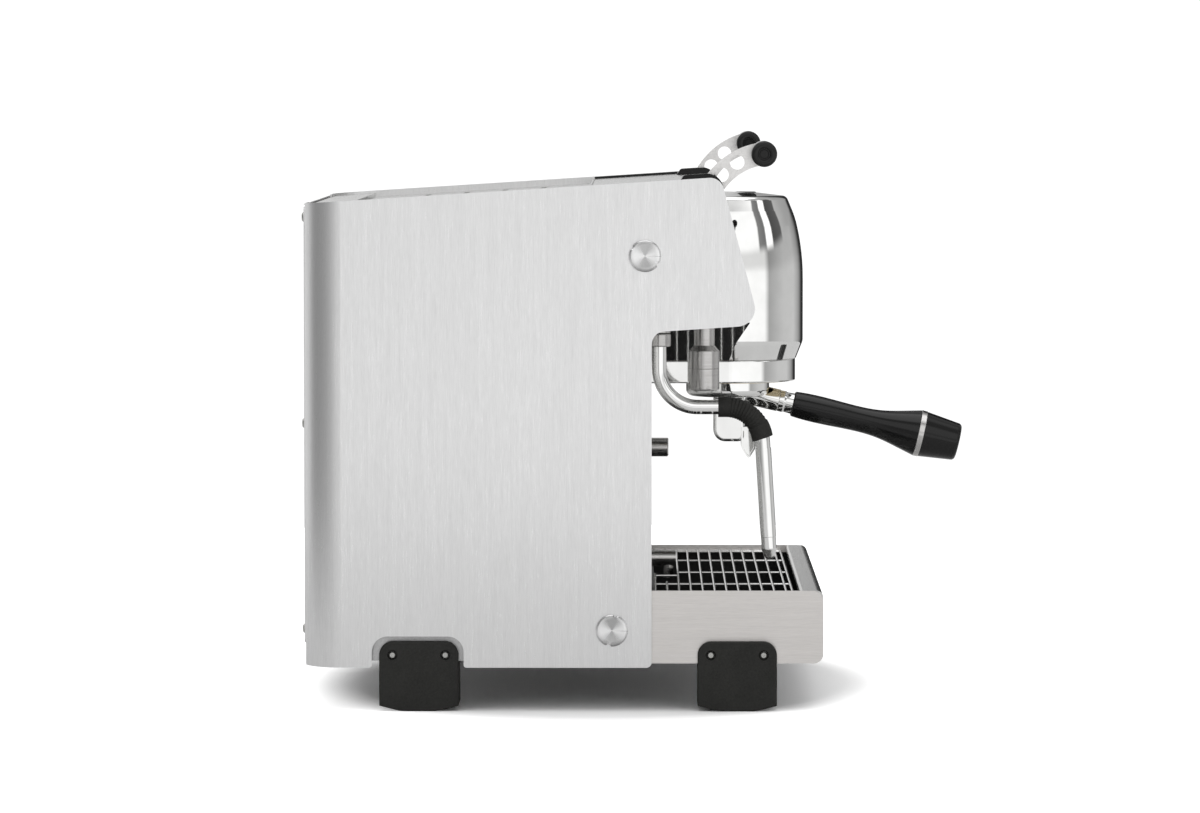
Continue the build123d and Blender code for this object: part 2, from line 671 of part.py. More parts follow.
def brew_button():
    """Round push button with a soft edge, on a stem down to the switch."""
    cap = Pos(0, BUTTON_Y, 366.0) * Cylinder(BUTTON_R, 5.5, align=(Align.CENTER, Align.CENTER, Align.MIN))
    cap = fillet(cap.faces().sort_by(Axis.Z)[-1].edges(), 0.8)
    stem = Pos(0, BUTTON_Y, 350.0) * Cylinder(3.0, 17, align=(Align.CENTER, Align.CENTER, Align.MIN))
    return cap + stem


# ---------------------------------------------------------------- portafilter
STEM_START = -11.0          # where the stem leaves the cup's boss, along the handle


def handle_plane():
    """Plane at the handle's start, with its Z along the handle."""
    drop = math.radians(HANDLE_DROP)
    direction = (0, -math.cos(drop), -math.sin(drop))
    return Plane(origin=(0, *HANDLE_START), x_dir=(1, 0, 0), z_dir=direction)


def portafilter_head():
    """Chromed cup with a thick rim, two lugs and a boss that takes the handle stem."""
    cup = turned([(0, 217.0, 0), (HEAD_R, 217.0, 5.0), (HEAD_R, 231.5, 0), (35.8, 236.0, 0),
                  (35.8, 245.0, 1.0), (0, 245.0, 0)])
    lugs = sector(42.6, LUG_ARC, 237.4, 244.4) - Pos(0, 0, 240) * Cylinder(35.0, 20)
    cup = Pos(0, GROUP_Y, 0) * (cup + lugs)
    cup += handle_plane() * (Pos(0, 0, (STEM_START - 36) / 2) * Cylinder(8.4, STEM_START + 36))
    hollow = turned([(0, 220.5, 0), (30.3, 220.5, 2.0), (30.3, 246.0, 0), (0, 246.0, 0)])
    cup -= Pos(0, GROUP_Y, 0) * hollow
    return cup - Pos(0, GROUP_Y, 0) * Cylinder(6.0, 1000)


def filter_basket():
    """Thin steel basket with a rolled rim, hanging in the cup, with a pierced bottom."""
    basket = turned([(0, 223.0, 0), (28.2, 223.0, 2.0), (29.6, 245.2, 0), (33.5, 245.2, 0),
                     (33.5, 246.6, 0.3), (28.8, 246.6, 0), (27.4, 224.0, 1.2), (0, 224.0, 0)])
    for ring_radius, count in ((6.0, 8), (12.0, 14), (18.0, 20), (24.0, 26)):
        for index in range(count):
            angle = 2 * math.pi * index / count
            x, y = ring_radius * math.cos(angle), ring_radius * math.sin(angle)
            basket -= Pos(x, y, 223.5) * Cylinder(0.6, 4)
    return Pos(0, GROUP_Y, 0) * basket


def portafilter_spout():
    """Rounded spout block under the cup, with an open scoop each side at its front."""
    profile = [(-78.7, 183.0, 5.0), (-55.3, 183.0, 9.0), (-55.3, 216.9, 1.0), (-78.7, 216.9, 1.0)]
    body = slab_x(profile, -14.0, 14.0)
    ends = body.faces().sort_by(Axis.X)[0].edges() + body.faces().sort_by(Axis.X)[-1].edges()
    body = fillet(ends, 2.5)
    body -= Pos(0, GROUP_Y, 205) * Cylinder(5.0, 30)
    for side in (-1, 1):
        scoop_x, scoop_y = side * 9.0, -81.8
        tip = slab_x([(scoop_y - 5.4, 194.0, 0), (scoop_y - 5.4, 178.0, 5.0), (scoop_y, 169.5, 1.5),
                      (scoop_y + 5.4, 178.0, 5.0), (scoop_y + 5.4, 194.0, 0)],
                     min(scoop_x, scoop_x + side * 5.0), max(scoop_x, scoop_x + side * 5.0))
        hollow = slab_x([(scoop_y - 4.2, 191.0, 0), (scoop_y - 4.2, 178.6, 4.0), (scoop_y, 171.6, 1.0),
                         (scoop_y + 4.2, 178.6, 4.0), (scoop_y + 4.2, 191.0, 0)],
                        min(scoop_x + side * 1.2, scoop_x + side * 6.0),
                        max(scoop_x + side * 1.2, scoop_x + side * 6.0))
        body += tip - hollow
    return body - handle_plane() * (Pos(0, 0, -20) * Cylinder(8.45, 50))


def portafilter_stem():
    """Chromed stem between the cup's boss and the grip, with a stepped collar."""
    stem = turned([(0, STEM_START, 0), (8.0, STEM_START, 0.6), (8.2, -7.0, 0.6), (7.6, -5.5, 0),
                   (7.9, -0.05, 0), (0, -0.05, 0)])
    return handle_plane() * stem


def handle_grip():
    """Black moulded grip: slim neck, long swell and a flare to the ring."""
    face = make_face(
        Line((0, 0), (8.7, 0)) + Line((8.7, 0), (9.5, 0.8))
        + Spline((9.5, 0.8), (9.9, 35.0), (10.7, 68.0), (14.2, 84.0), (17.4, 97.0))
        + Line((17.4, 97.0), (0, 97.0)) + Line((0, 97.0), (0, 0)))
    return handle_plane() * revolve(Plane.XZ * face, Axis.Z)


def handle_ring():
    """Satin metal ring set between the grip and its end cap."""
    ring = turned([(0, 97.0, 0), (17.6, 97.0, 0.4), (17.5, 101.2, 0.4), (0, 101.2, 0)])
    return handle_plane() * ring


def handle_cap():
    """Black end cap, tapering to a flat rounded end."""
    cap = turned([(0, 101.2, 0), (17.2, 101.2, 0.3), (13.9, 128.8, 3.0), (0, 128.8, 0)])
    return handle_plane() * cap


# ---------------------------------------------------------------- steam wand and hot water
def wand_nut():
    """Fixed union under the nose that carries the wand's swivel collar."""
    nut = turned([(0, 271.2, 0), (8.4, 271.2, 0.6), (8.4, 275.2, 0), (0, 275.2, 0)])
    nut += Pos(0, 0, 284) * Cylinder(5.0, 20)
    nut -= Pos(0, 0, 280) * Cylinder(2.0, 60) + Pos(0, 0, WAND_PIVOT_Z) * Sphere(7.2)
    return Pos(WAND_X, WAND_Y, 0) * nut


def wand_collar():
    """Swivelling ball seat that hangs in the union."""
    seat = turned([(0, 261.0, 0), (8.6, 261.0, 1.5), (8.6, 270.8, 1.0), (0, 270.8, 0)])
    seat -= Pos(0, 0, WAND_PIVOT_Z) * Sphere(6.9)
    seat -= turned([(0, 255.0, 0), (10.5, 255.0, 0), (5.6, WAND_PIVOT_Z, 0), (0, WAND_PIVOT_Z, 0)])
    return Pos(WAND_X, WAND_Y, 0) * seat


BEND_R = 28.0
LEVEL_Z = 217.0
SLEEVE_R = 7.4
SLEEVE_TURN_R = 26.5
SLEEVE_START_Y = -57.0


def wand_path():
    """Corner points of the bent tube from the ball to the lower tube's top."""
    lean = math.radians(WAND_LEAN)
    corner_y = SLEEVE_START_Y - 31.0
    drop = 30.0
    return [
        (WAND_X, WAND_Y, WAND_PIVOT_Z),
        (WAND_X, WAND_Y, LEVEL_Z),
        (WAND_X, corner_y, LEVEL_Z),
        (WAND_X, corner_y - drop * math.sin(lean), LEVEL_Z - drop * math.cos(lean)),
    ]


def wand_upper_tube():
    """Ball-ended bent steel tube of the wand."""
    pipe = tube(wand_path(), [BEND_R, SLEEVE_TURN_R], WAND_TUBE_R)
    return pipe + Pos(WAND_X, WAND_Y, WAND_PIVOT_Z) * Sphere(6.85)


def wand_sleeve():
    """Rubber hand grip over the tube's forward bend."""
    corner = wand_path()[2]
    end = wand_path()[3]
    start = (WAND_X, SLEEVE_START_Y, LEVEL_Z)
    outer = tube([start, corner, end], [SLEEVE_TURN_R], SLEEVE_R)
    inner = tube([(WAND_X, SLEEVE_START_Y + 3, LEVEL_Z), corner, end], [SLEEVE_TURN_R], WAND_TUBE_R)
    return outer - inner


def wand_axis(distance):
    """A point on the lower tube's axis, down from its top."""
    lean = math.radians(WAND_LEAN)
    x, y, z = wand_path()[3]
    return (x, y - distance * math.sin(lean), z - distance * math.cos(lean))


def wand_lower_tube():
    """Straight polished lower tube."""
    return rod(wand_axis(0), wand_axis(65.0), 5.75)


def wand_tip():
    """Steam tip with four angled holes."""
    plane = Plane(origin=wand_axis(65.0), x_dir=(1, 0, 0),
                  z_dir=Vector(*wand_axis(1)) - Vector(*wand_axis(0)))
    tip = turned([(0, 0, 0), (5.5, 0, 0.4), (5.5, 9.0, 3.0), (3.2, 16.2, 2.5), (0, 16.2, 0)])
    for index in range(4):
        angle = index * 90 + 45
        tip -= Rot(0, 0, angle) * (Pos(3.2, 0, 14.5) * (Rot(0, 35, 0) * Cylinder(0.7, 8)))
    return plane * tip


def hot_water_spout():
    """Satin turned outlet: neck, shoulder and body with a fine groove, bored through."""
    spout = turned([(0, 227.0, 0), (11.3, 227.0, 1.2), (11.3, 242.8, 0), (11.0, 243.0, 0), (11.3, 243.2, 0),
                    (11.3, 256.0, 0.6), (7.7, 260.0, 0.5), (7.7, 277.0, 0), (0, 277.0, 0)])
    spout += Pos(0, 0, 284) * Cylinder(5.0, 20)
    spout -= Pos(0, 0, 260) * Cylinder(2.5, 90)
    spout -= Pos(0, 0, 228) * Cylinder(9.0, 6)
    return Pos(SPOUT_X, SPOUT_Y, 0) * spout


def water_diffuser():
    """Pierced disc inside the hot-water outlet."""
    disc = Cylinder(8.9, 1.2)
    for index in range(6):
        angle = math.radians(60 * index)
        disc -= Pos(5 * math.cos(angle), 5 * math.sin(angle), 0) * Cylinder(1.0, 4)
    return Pos(SPOUT_X, SPOUT_Y, 230.3) * disc


# ---------------------------------------------------------------- valve levers
def lever_arm():
    """Left lever: a flat curved plate with two round holes, on its valve shaft."""
    knob_y, knob_z = KNOB_CENTRE
    pivot_y, pivot_z = LEVER_PIVOT
    spine = Spline((pivot_y, pivot_z), (-50.2, 375.0), (-59.1, 386.6), (-70.5, 395.6), (knob_y, knob_z))
    half = 8.25
    upper = []
    lower = []
    for step in range(9):
        point = spine @ (step / 8)
        heading = spine % (step / 8)
        upper.append((point.X - heading.Y * half, point.Y + heading.X * half))
        lower.append((point.X + heading.Y * half, point.Y - heading.X * half))
    face = make_face(Spline(*upper) + Line(upper[-1], lower[-1]) + Spline(*lower)
                     + Line(lower[0], upper[0]))
    plate = extrude(Plane.YZ.offset(-LEVER_X - LEVER_THICK / 2) * face, LEVER_THICK)
    hub = rod((-LEVER_X - 3.5, pivot_y, pivot_z), (-LEVER_X + 3.5, pivot_y, pivot_z), 9.5)
    socket = rod((-LEVER_X - 3.5, knob_y, knob_z), (-LEVER_X + 3.5, knob_y, knob_z), 8.4)
    shaft = rod((-LEVER_X, pivot_y, pivot_z), (-LEVER_X + 26, pivot_y, pivot_z), 4.0)
    arm = plate + hub + socket + shaft
    for y, z in ((-70.5, 395.6), (-59.1, 386.6)):
        arm -= rod((-LEVER_X - 10, y, z), (-LEVER_X + 10, y, z), 5.3)
    return arm - rod((-LEVER_X - 10, knob_y, knob_z), (-LEVER_X + 10, knob_y, knob_z), 4.2)


def lever_knob():
    """Left lever's barrel knob, with a metal-coloured recess in each end."""
    knob_y, knob_z = KNOB_CENTRE
    half = KNOB_LENGTH / 2
    barrel = turned([(0, -half, 0), (KNOB_R, -half, 1.5), (KNOB_R, half, 1.5), (0, half, 0)])
    barrel -= Pos(0, 0, half) * Cylinder(4.2, 1.6) + Pos(0, 0, -half) * Cylinder(4.2, 1.6)
    barrel -= turned([(4.2, -3.6, 0), (12, -3.6, 0), (12, 3.6, 0), (4.2, 3.6, 0)])
    plane = Plane(origin=(-LEVER_X, knob_y, knob_z), x_dir=(0, 1, 0), z_dir=(1, 0, 0))
    return plane * barrel


def right_hand(piece):
    """The right lever's copy of a left lever piece, resting turned a little further back."""
    pivot = Axis((0, *LEVER_PIVOT), (-1, 0, 0))
    return mirrored(piece).rotate(pivot, RIGHT_LEVER_TURN)


def valve():
    """Left valve block standing on the nose's underside, bored for the lever shaft."""
    pivot_y, pivot_z = LEVER_PIVOT
    body = block(-148, -122, pivot_y - 13, pivot_y + 13, 283.5, pivot_z + 13)
    body = fillet(body.edges().filter_by(Axis.Z), 3)
    return body - rod((-150, pivot_y, pivot_z), (-130, pivot_y, pivot_z), 4.05)


# ---------------------------------------------------------------- inside
BOILER_Y = 152.0
BOILER_Z = 262.0
BOILER_R = 62.0


def steam_boiler():
    """Lying steel boiler with flanged ends and two bored outlets on top."""
    outlets = (-80, 90)
    body = rod((-110, BOILER_Y, BOILER_Z), (130, BOILER_Y, BOILER_Z), BOILER_R)
    for x in (-112, 126):
        body += rod((x, BOILER_Y, BOILER_Z), (x + 6, BOILER_Y, BOILER_Z), BOILER_R + 4)
    for x in outlets:
        body += rod((x, BOILER_Y, BOILER_Z), (x, BOILER_Y, BOILER_Z + BOILER_R + 7), 7)
    body -= rod((-107, BOILER_Y, BOILER_Z), (127, BOILER_Y, BOILER_Z), BOILER_R - 2.5)
    for x in outlets:
        body -= rod((x, BOILER_Y, BOILER_Z), (x, BOILER_Y, BOILER_Z + BOILER_R + 10), 2.5)
    return body


def boiler_cradle():
    """Two folded plates that carry the boiler above the chassis floor."""
    plates = []
    for x in (-100.0, 116.0):
        plate = block(x, x + 3, BOILER_Y - 45, BOILER_Y + 45, FLOOR_Z + FLOOR_SHEET, BOILER_Z)
        plate += block(x - 14, x + 3, BOILER_Y - 45, BOILER_Y + 45,
                       FLOOR_Z + FLOOR_SHEET, FLOOR_Z + FLOOR_SHEET + 2)
        plate -= rod((x - 20, BOILER_Y, BOILER_Z), (x + 20, BOILER_Y, BOILER_Z), BOILER_R + 0.1)
        plates.append(plate)
    return Compound(children=plates)


def brew_boiler():
    """Small lying boiler behind the group, flanged to the chassis plate."""
    body = rod((0, 12, 304), (0, 78, 304), 33)
    return body + rod((0, 4.1, 304), (0, 12, 304), 20)


def pump_motor():
    """Electric motor lying under the boiler, on a foot plate."""
    body = rod((-80, 150, 98), (40, 150, 98), 42)
    foot_plate = block(-70, 30, 115, 185, FLOOR_Z + FLOOR_SHEET, 42)
    web = block(-60, 20, 125, 175, 42, 75)
    return body + foot_plate + web


def pump():
    """Rotary vane pump flanged to the motor's end."""
    return rod((40.2, 150, 98), (92, 150, 98), 24) + rod((40.2, 150, 98), (48, 150, 98), 32)


def control_box():
    """Electronics box on the chassis floor, near the left side, open below for its leads."""
    box = block(-182, -130, 50, 180, FLOOR_Z + FLOOR_SHEET, 190)
    box = fillet(box.edges().filter_by(Axis.Z), 4)
    return box - block(-180, -132, 52, 178, FLOOR_Z, 188)


def power_inlet():
    """Three-pin mains socket in the rear cover; the lead itself is not fitted."""
    shell = block(INLET_X - 13.8, INLET_X + 13.8, REAR_Y - 22, REAR_Y + 1.3, INLET_Z - 10.3, INLET_Z + 10.3)
    shell -= block(INLET_X - 12.2, INLET_X + 12.2, REAR_Y - 15, REAR_Y + 3, INLET_Z - 8.4, INLET_Z + 8.4)
    for x, z in ((-7, -2), (0, 2), (7, -2)):
        shell += block(INLET_X + x - 1, INLET_X + x + 1, REAR_Y - 16, REAR_Y - 2,
                       INLET_Z + z - 2, INLET_Z + z + 2)
    return shell


def water_inlet():
    """Threaded water union through the chassis floor, with a hexagon above its thread."""
    thread = Pos(0, 0, 27.5) * Cylinder(INLET_R, 22, align=(Align.CENTER, Align.CENTER, Align.MIN))
    nut = extrude(Plane.XY.offset(33.4) * RegularPolygon(9.5, 6), 2.6)
    flange = Pos(0, 0, 38.0) * Cylinder(10.0, 6.0, align=(Align.CENTER, Align.CENTER, Align.MIN))
    return Pos(INLET_PIPE_X, INLET_PIPE_Y, 0) * (thread + nut + flange)


def drain_outlet():
    """Plain drain stub through the chassis floor, with a shoulder that stops the hose."""
    seated = (Align.CENTER, Align.CENTER, Align.MIN)
    stub = Pos(0, 0, 27.5) * Cylinder(DRAIN_R, 8.0, align=seated)
    neck = Pos(0, 0, 35.5) * Cylinder(DRAIN_R + 0.5, 12.0, align=seated)
    flange = Pos(0, 0, 38.0) * Cylinder(9.0, 4.0, align=seated)
    return Pos(DRAIN_X, DRAIN_Y, 0) * (stub + neck + flange)


def water_pipe():
    """Cold water from the inlet to the pump."""
    points = [(INLET_PIPE_X, INLET_PIPE_Y, 50.1), (INLET_PIPE_X, INLET_PIPE_Y, 196),
              (60, INLET_PIPE_Y, 196), (60, INLET_PIPE_Y, 98), (60, 174.2, 98)]
    return tube(points, [14, 14, 14], 3.0)


def brew_pipe():
    """Pressurised water from the pump to the brew boiler."""
    points = [(92.1, 150, 98), (108, 150, 98), (108, 78, 98), (108, 78, 309), (108, 40, 309), (33.0, 40, 309)]
    return tube(points, [7, 14, 14, 14], 3.0)


def steam_pipe():
    """Steam from the boiler's top to the left valve."""
    points = [(-80, BOILER_Y, 331.1), (-80, BOILER_Y, 346), (-135, BOILER_Y, 346), (-135, -24.9, 346)]
    return tube(points, [7, 14], 3.0)


def hot_water_pipe():
    """Hot water from the boiler to the right valve."""
    points = [(90, BOILER_Y, 331.1), (90, BOILER_Y, 346), (135, BOILER_Y, 346), (135, -24.9, 346)]
    return tube(points, [7, 14], 3.0)


def wand_feed_pipe():
    """Steam from the left valve to the wand's union."""
    points = [(-135, -24.9, 312), (-135, -13.9, 312), (-150, -13.9, 312), (-150, -13.9, 294.1)]
    return tube(points, [5, 7], 2.5)


def spout_feed_pipe():
    """Hot water from the right valve, behind the nose, to the left outlet."""
    points = [(121.9, -38, 300), (80, -38, 300), (80, 50, 300), (80, 50, 262),
              (-90, 50, 262), (-90, 50, 300), (-90, -47.2, 300), (-105, -47.2, 300), (-105, -47.2, 294.1)]
    return tube(points, [12, 12, 12, 12, 12, 6, 3], 2.5)


os.makedirs("parts", exist_ok=True)
save("base_frame", base_frame())
save("left_side_panel", side_panel())
save("right_side_panel", mirrored(side_panel()))
save("panel_thumb_nuts", thumb_nuts())
save("back_panel", back_panel())
save("back_screws", back_screws())
save("backsplash", backsplash())
save("front_cover", front_cover())
save("lever_slot_trims", pair(lever_trim()))
save("cup_tray", cup_tray())
save("top_edge_seals", pair(top_edge_seal()))
save("feet", feet())
save("foot_screws", foot_screws())
save("left_tray_side_plate", tray_side_plate())
save("right_tray_side_plate", mirrored(tray_side_plate()))
save("drip_tray_pan", drip_tray_pan())
save("tray_front_cover", tray_front_cover())
save("tray_grid", tray_grid())
save("drain_spout", drain_spout())
save("power_knob", power_knob())
save("power_switch", power_switch())
save("group_cover", group_cover())
save("group_collar", group_collar())
save("bayonet_ring", bayonet_ring())
save("group_gasket", gasket())
save("shower_screen", shower_screen())
save("group_head", group_head())
save("brew_switch", brew_switch())
save("brew_button", brew_button())
save("portafilter_head", portafilter_head())
save("filter_basket", filter_basket())
save("portafilter_spout", portafilter_spout())
save("portafilter_stem", portafilter_stem())
save("handle_grip", handle_grip())
save("handle_ring", handle_ring())
save("handle_cap", handle_cap())
save("wand_nut", wand_nut())
save("wand_collar", wand_collar())
save("wand_upper_tube", wand_upper_tube())
save("wand_sleeve", wand_sleeve())
save("wand_lower_tube", wand_lower_tube())
save("wand_tip", wand_tip())
save("hot_water_spout", hot_water_spout())
save("left_lever_arm", lever_arm())
save("right_lever_arm", right_hand(lever_arm()))
save("left_lever_knob", lever_knob())
save("right_lever_knob", right_hand(lever_knob()))
save("steam_valve", valve())
save("hot_water_valve", mirrored(valve()))
save("steam_boiler", steam_boiler())
save("boiler_cradle", boiler_cradle())
save("brew_boiler", brew_boiler())
save("pump_motor", pump_motor())
save("pump", pump())
save("control_box", control_box())
save("power_inlet", power_inlet())
save("water_unions", Compound(children=[water_inlet(), drain_outlet()]))
save("water_pipes", Compound(children=[water_pipe(), brew_pipe()]))
save("steam_pipes", Compound(children=[steam_pipe(), wand_feed_pipe()]))
save("hot_water_pipes", Compound(children=[hot_water_pipe(), spout_feed_pipe()]))
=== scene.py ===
import math

import bpy
import numpy as np
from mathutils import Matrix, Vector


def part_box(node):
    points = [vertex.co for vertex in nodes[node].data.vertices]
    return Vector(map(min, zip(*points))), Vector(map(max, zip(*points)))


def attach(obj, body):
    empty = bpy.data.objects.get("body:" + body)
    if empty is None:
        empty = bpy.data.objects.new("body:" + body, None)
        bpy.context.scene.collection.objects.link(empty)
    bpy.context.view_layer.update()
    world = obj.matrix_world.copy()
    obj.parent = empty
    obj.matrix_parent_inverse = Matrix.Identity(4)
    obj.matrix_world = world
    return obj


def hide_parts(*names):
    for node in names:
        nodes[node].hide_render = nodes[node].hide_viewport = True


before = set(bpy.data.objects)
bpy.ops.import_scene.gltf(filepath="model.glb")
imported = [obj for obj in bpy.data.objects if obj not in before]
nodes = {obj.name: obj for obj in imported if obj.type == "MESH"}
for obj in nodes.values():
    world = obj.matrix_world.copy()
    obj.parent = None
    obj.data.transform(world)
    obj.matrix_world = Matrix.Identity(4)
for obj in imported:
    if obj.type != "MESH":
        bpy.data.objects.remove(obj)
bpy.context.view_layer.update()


# ---------------------------------------------------------------- chassis
# The machine stands on a folded chassis of mill-finish stainless sheet. A second sheet part
# is screwed to it and cradles the boilers.

def new_surface(name, **values):
    """A material with one Principled shader; values set that shader's plain sockets."""
    material = bpy.data.materials.new(name)
    material.use_nodes = True
    shader = material.node_tree.nodes["Principled BSDF"]
    for socket, value in values.items():
        shader.inputs[socket.replace("_", " ")].default_value = value
    return material, material.node_tree, shader


def place(tree, kind, sockets=(), **settings):
    """Add a node to a tree: a socket given another node's output is wired, a plain value is set."""
    node = tree.nodes.new(kind)
    for name, value in settings.items():
        setattr(node, name, value)
    for socket, value in dict(sockets).items():
        if isinstance(value, bpy.types.NodeSocket):
            tree.links.new(value, node.inputs[socket])
        else:
            node.inputs[socket].default_value = value
    return node


def finish_group(name, layers, distance):
    """A metal or moulded finish: three layers of noise, each squeezed by (across, along) Z.

    The first two layers are the lines, and the third drifts slowly over them. Mixed, they are a
    tone from 0 to 1, which picks the colour between Dark and Light and the roughness between
    Rough and Smooth. The lines stand up as a bump of the given height in metres.
    """
    tree = bpy.data.node_groups.new(name, "ShaderNodeTree")
    for label, kind in (("Vector", "NodeSocketVector"), ("Dark", "NodeSocketColor"),
                        ("Light", "NodeSocketColor"), ("Smooth", "NodeSocketFloat"),
                        ("Rough", "NodeSocketFloat"), ("Depth", "NodeSocketFloat")):
        tree.interface.new_socket(label, in_out="INPUT", socket_type=kind)
    for label, kind in (("Color", "NodeSocketColor"), ("Roughness", "NodeSocketFloat"),
                        ("Normal", "NodeSocketVector")):
        tree.interface.new_socket(label, in_out="OUTPUT", socket_type=kind)
    given = tree.nodes.new("NodeGroupInput").outputs
    result = tree.nodes.new("NodeGroupOutput").inputs
    tones = []
    for across, along in layers:
        squeeze = place(tree, "ShaderNodeMapping", {"Vector": given["Vector"],
                                                    "Scale": (across, across, along)})
        tones.append(place(tree, "ShaderNodeTexNoise", {
            "Vector": squeeze.outputs[0], "Scale": 1.0, "Detail": 2.0,
            "Roughness": 0.55}).outputs["Fac"])
    lines = place(tree, "ShaderNodeMix", {"Factor": 0.4, "A": tones[0], "B": tones[1]})
    tone = place(tree, "ShaderNodeMix", {"Factor": 0.25, "A": lines.outputs[0], "B": tones[2]})
    darkest, lightest = 0.36, 0.64
    spread = place(tree, "ShaderNodeMapRange", {"Value": tone.outputs[0], "From Min": darkest,
                                                "From Max": lightest})
    color = place(tree, "ShaderNodeMix", {0: spread.outputs[0], 6: given["Dark"],
                                          7: given["Light"]}, data_type="RGBA")
    rough = place(tree, "ShaderNodeMapRange", {"Value": spread.outputs[0],
                                               "To Min": given["Rough"],
                                               "To Max": given["Smooth"]})
    bump = place(tree, "ShaderNodeBump", {"Height": lines.outputs[0], "Distance": distance,
                                          "Strength": given["Depth"]})
    tree.links.new(color.outputs[2], result["Color"])
    tree.links.new(rough.outputs[0], result["Roughness"])
    tree.links.new(bump.outputs[0], result["Normal"])
    return tree


def finish_with(material, tree, shader, group, vector, dark, light, smooth, rough, depth):
    """Wire a finish group into a material, with that material's own values."""
    coat = place(tree, "ShaderNodeGroup", node_tree=group)
    tree.links.new(vector, coat.inputs["Vector"])
    for socket, value in (("Dark", (*dark, 1)), ("Light", (*light, 1)), ("Smooth", smooth),
                          ("Rough", rough), ("Depth", depth)):
        coat.inputs[socket].default_value = value
    for output, socket in (("Color", "Base Color"), ("Roughness", "Roughness"),
                           ("Normal", "Normal")):
        tree.links.new(coat.outputs[output], shader.inputs[socket])
    return material


def clad(material, *names):
    """Give these CAD pieces one finish."""
    for name in names:
        slots = nodes[name].data.materials
        slots.clear()
        slots.append(material)


even_mottle = finish_group("even mottle", ((1800, 1800), (600, 600), (70, 70)), 0.0001)


def mottled(name, dark, light, smooth, rough, depth=0.1, **values):
    """A plain metal, paint or moulding with a fine even grain."""
    material, tree, shader = new_surface(name, **values)
    where = place(tree, "ShaderNodeTexCoord")
    return finish_with(material, tree, shader, even_mottle, where.outputs["Object"], dark, light,
                       smooth, rough, depth)


clad(mottled("chassis steel", (0.50, 0.50, 0.50), (0.62, 0.62, 0.62), 0.28, 0.4, Metallic=1.0),
     "base_frame", "boiler_cradle")

# ---------------------------------------------------------------- boilers, pump and pipes
# Two welded steel boilers are fed by a brass pump on a painted motor. Drawn copper pipes with
# brass unions join them to the machined brass valves. The switches, the control box and the
# mains inlet are moulded in matte black plastic.

clad(mottled("boiler steel", (0.46, 0.46, 0.46), (0.58, 0.58, 0.58), 0.25, 0.4, Metallic=1.0),
     "steam_boiler", "brew_boiler")
brass = mottled("group brass", (0.60, 0.50, 0.32), (0.70, 0.60, 0.42), 0.2, 0.35, Metallic=1.0)
clad(brass, "steam_valve", "hot_water_valve", "water_unions", "pump")
clad(mottled("drawn copper", (0.62, 0.33, 0.22), (0.78, 0.46, 0.33), 0.18, 0.32, Metallic=1.0),
     "water_pipes", "steam_pipes", "hot_water_pipes")
clad(mottled("motor paint", (0.035, 0.045, 0.055), (0.06, 0.07, 0.08), 0.3, 0.5), "pump_motor")
matte_black = mottled("matte black", (0.007, 0.007, 0.007), (0.012, 0.012, 0.012), 0.3, 0.42, 0.1,
                      Specular_IOR_Level=0.25)
clad(matte_black, "power_switch", "brew_switch", "power_inlet", "control_box")

# ---------------------------------------------------------------- group head
# The brass group head holds the ring that the portafilter locks into. A pressed steel screen
# and a moulded rubber seal are pushed into it from below.

rubber = mottled("moulded rubber", (0.011, 0.011, 0.010), (0.018, 0.018, 0.016), 0.5, 0.7, 0.4,
                 Specular_IOR_Level=0.25)
pressed_steel = mottled("basket steel", (0.66, 0.66, 0.65), (0.76, 0.76, 0.75), 0.12, 0.2,
                        Metallic=1.0)
clad(brass, "bayonet_ring", "group_head")
clad(pressed_steel, "shower_screen")
clad(rubber, "group_gasket")

# ---------------------------------------------------------------- back and side panels
# The two outer panels are single stainless sheets, bent round the rear corners and brushed
# up and down. The flat back panel is held between them by zinc-plated screws.


def streaked_metal(name, group, along, dark, light, smooth, rough, spread, turn=0.0, depth=0.1):
    """Metal with its grain about or along one axis; spread smears the gloss across the grain."""
    material, tree, shader = new_surface(name, Metallic=1.0, Anisotropic=spread,
                                         Anisotropic_Rotation=turn)
    where = place(tree, "ShaderNodeTexCoord")
    quarter = math.radians(90)
    turned = place(tree, "ShaderNodeMapping", {
        "Vector": where.outputs["Object"],
        "Rotation": {"X": (0, quarter, 0), "Y": (quarter, 0, 0), "Z": (0, 0, 0)}[along]})
    across = place(tree, "ShaderNodeTangent", direction_type="RADIAL", axis=along)
    tree.links.new(across.outputs[0], shader.inputs["Tangent"])
    return finish_with(material, tree, shader, group, turned.outputs[0], dark, light, smooth,
                       rough, depth)


straight_brushing = finish_group("straight brushing", ((3600, 150), (1700, 60), (420, 16)), 0.0001)
clad(streaked_metal("side panel steel", straight_brushing, "Z", (0.80, 0.80, 0.80),
                    (0.90, 0.90, 0.90), 0.27, 0.33, 0.75),
     "left_side_panel", "right_side_panel", "back_panel")
zinc = mottled("zinc", (0.45, 0.45, 0.43), (0.60, 0.60, 0.58), 0.25, 0.4, Metallic=1.0)
clad(zinc, "back_screws")

# ---------------------------------------------------------------- thumb nuts
# Each side panel is held by two turned stainless thumb nuts: a round head with a bevelled
# rim, two notches in its edge, and a faced front whose tool marks run round the centre.


